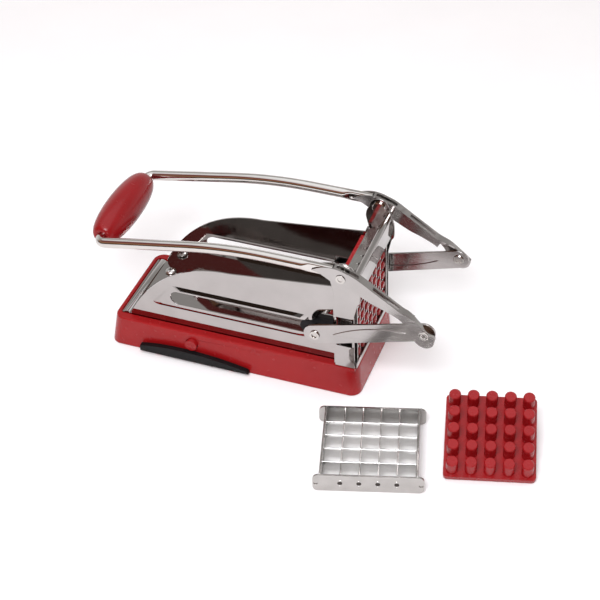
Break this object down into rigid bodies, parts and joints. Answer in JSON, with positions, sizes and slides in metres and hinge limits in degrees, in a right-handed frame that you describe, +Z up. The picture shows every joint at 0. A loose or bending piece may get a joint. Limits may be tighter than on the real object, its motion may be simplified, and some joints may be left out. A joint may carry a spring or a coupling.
{
  "type": "french fry cutter",
  "caption": "Tabletop lever press that drives a pinned pusher along slotted walls, forcing a potato through a square blade grid; spare grid and pusher lie beside it.",
  "frame": {"origin": "centre of the suction pad's underside, on the surface the cutter stands on", "axes": "+X out of the cutting end, +Y to the left, +Z up"},
  "size_m": [0.3454, 0.1814, 0.1193],
  "materials": {
    "red_housing": "smooth moulded red plastic",
    "red_pusher": "smooth moulded red plastic",
    "red_grip": "smooth moulded red plastic",
    "black_plastic": "fine matte",
    "black_rubber": "plain",
    "chrome_sheet": "polished plated sheet",
    "chrome_tube": "polished plated tube",
    "grid_steel": "satin",
    "blade_steel": "satin, thin edges",
    "rivet_steel": "polished",
    "screw_steel": "satin"
  },
  "bodies": {
    "root": {"base_housing": "red_housing", "rubber_feet": "black_rubber", "suction_pad": "black_rubber", "pad_stem": "screw_steel", "suction_hinge_rod": "screw_steel", "trough_floor": "chrome_sheet", "left_wall": "chrome_sheet", "right_wall": "chrome_sheet", "floor_screws": "screw_steel", "left_cheek": "chrome_sheet", "right_cheek": "chrome_sheet", "sill_strap": "chrome_sheet", "top_crossbar": "chrome_sheet", "frame_screws": "screw_steel", "pivot_rivets": "rivet_steel", "grid_end_plates": "grid_steel", "grid_side_bars": "grid_steel", "grid_vertical_blades": "blade_steel", "grid_horizontal_blades": "blade_steel"},
    "pusher": {"pusher_head": "red_pusher", "pusher_carriage": "chrome_sheet", "slider_shoes": "black_plastic", "pusher_axle": "rivet_steel", "axle_bushes": "rivet_steel"},
    "handle_lever": {"handle_tube": "chrome_tube", "left_arm": "chrome_sheet", "right_arm": "chrome_sheet", "grip": "red_grip", "link_rivets": "rivet_steel"},
    "links": {"left_link": "chrome_sheet", "right_link": "chrome_sheet", "link_eye_rivets": "rivet_steel"},
    "suction_lever": {"suction_lever": "black_plastic"},
    "release_button": {"release_button": "red_pusher"},
    "spare_grid": {"spare_end_plates": "grid_steel", "spare_side_bars": "grid_steel", "spare_vertical_blades": "blade_steel", "spare_horizontal_blades": "blade_steel"},
    "spare_pusher": {"spare_pusher_head": "red_pusher"}
  },
  "joints": [
    {"name": "handle_turn", "type": "hinge", "parent": "root", "child": "handle_lever", "pos_m": [0.0873, 0, 0.111], "axis": [0, 1, 0], "range_deg": [0, 91]},
    {"name": "pusher_slide", "type": "slide", "parent": "root", "child": "pusher", "axis": [-1, 0, 0], "range_m": [0, 0.0978]},
    {"name": "links_turn", "type": "hinge", "parent": "handle_lever", "child": "links", "pos_m": [0.146, 0, 0.0765], "axis": [0, 1, 0], "range_deg": [-74.7, 0]},
    {"name": "suction_lever_turn", "type": "hinge", "parent": "root", "child": "suction_lever", "pos_m": [-0.0284, -0.043, 0.0024], "axis": [1, 0, 0], "range_deg": [0, 75]},
    {"name": "release_button_press", "type": "slide", "parent": "root", "child": "release_button", "axis": [0, 1, 0], "range_m": [0, 0.0025], "stiffness_N_per_m": 400},
    {"name": "spare_grid_lift", "type": "slide", "parent": "root", "child": "spare_grid", "axis": [0, 0, 1], "range_m": [0, 0.05]},
    {"name": "spare_pusher_lift", "type": "slide", "parent": "root", "child": "spare_pusher", "axis": [0, 0, 1], "range_m": [0, 0.05]}
  ],
  "couplings": [
    {"joint": "pusher_slide", "follows": "handle_turn", "m_per_rad": 0.06154},
    {"joint": "links_turn", "follows": "handle_turn", "ratio": -0.81959}
  ]
}
